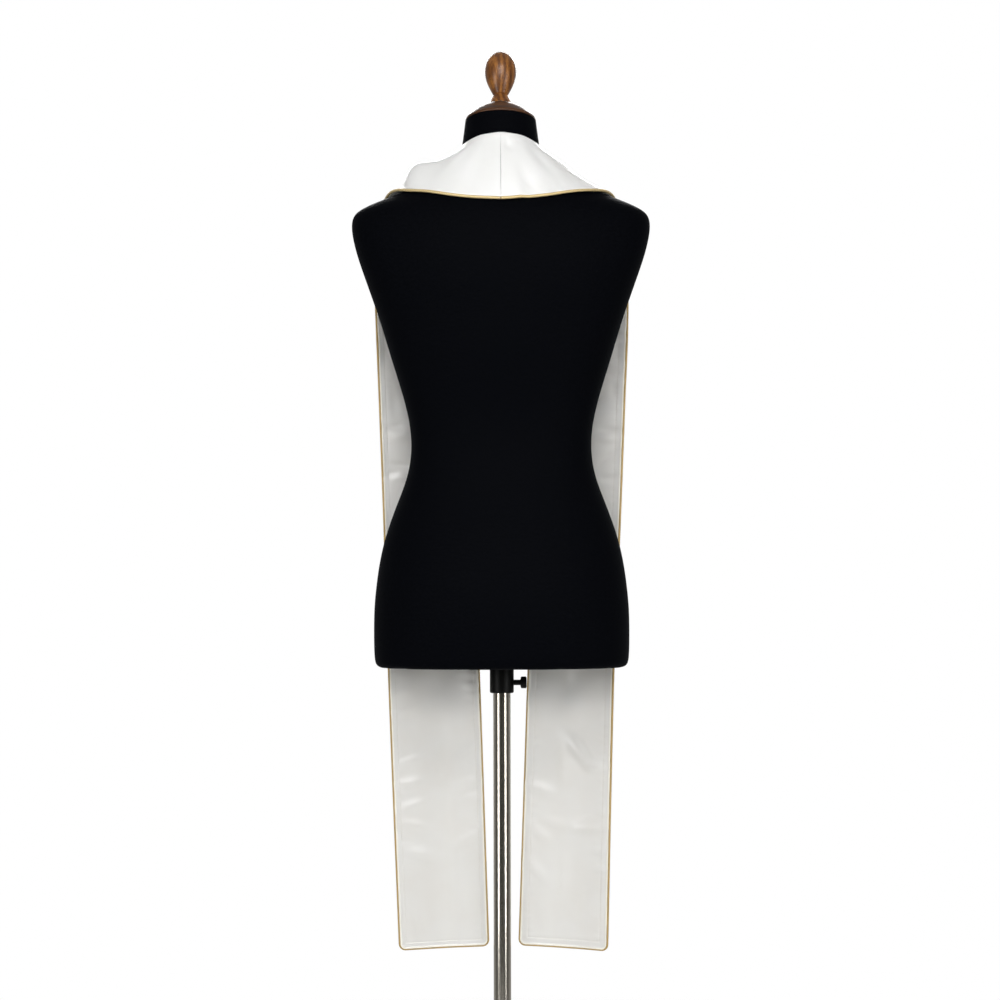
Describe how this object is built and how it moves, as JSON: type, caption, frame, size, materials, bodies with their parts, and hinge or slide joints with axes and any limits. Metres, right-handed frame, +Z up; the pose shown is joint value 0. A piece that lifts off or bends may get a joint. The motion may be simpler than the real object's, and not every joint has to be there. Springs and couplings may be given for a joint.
{
  "type": "clergy stole on a limbless dress form",
  "caption": "Long white satin stole with an ivory lining and gold piping, worn round the neck of a black jersey dress form on a steel pole stand.",
  "frame": {"origin": "on the floor under the middle of the base plate", "axes": "+Z up, +Y the way the dress form faces, +X towards the form's own right side, where its thumb screw is"},
  "size_m": [0.396, 0.34, 1.628],
  "materials": {
    "steel_brushed": "brushed",
    "jersey_black": "matte cotton jersey",
    "wood_varnished": "satin varnish",
    "plastic_black": "satin",
    "satin_white": "satin",
    "lining_ivory": "satin",
    "cord_gold": "twisted cord with a soft shine"
  },
  "bodies": {
    "stand": {"base_plate": "steel_brushed", "base_hub": "steel_brushed"},
    "pole": {"pole": "steel_brushed"},
    "form": {"form_torso": "jersey_black", "neck_cap": "wood_varnished", "finial": "wood_varnished", "pole_collar": "plastic_black", "stole_strip_left": "satin_white", "stole_lining_left": "lining_ivory", "piping_left": "cord_gold", "stole_strip_right": "satin_white", "stole_lining_right": "lining_ivory", "piping_right": "cord_gold"},
    "screw": {"clamp_screw": "plastic_black"}
  },
  "joints": [
    {"name": "swivel", "type": "hinge", "parent": "stand", "child": "pole", "pos_m": [0, 0, 0.02], "axis": [0, 0, 1], "continuous": true},
    {"name": "height_slide", "type": "slide", "parent": "pole", "child": "form", "axis": [0, 0, 1], "range_m": [-0.12, 0.15]},
    {"name": "clamp_turn", "type": "hinge", "parent": "form", "child": "screw", "pos_m": [0.0248, 0, 0.788], "axis": [1, 0, 0], "range_deg": [0, 360]}
  ]
}
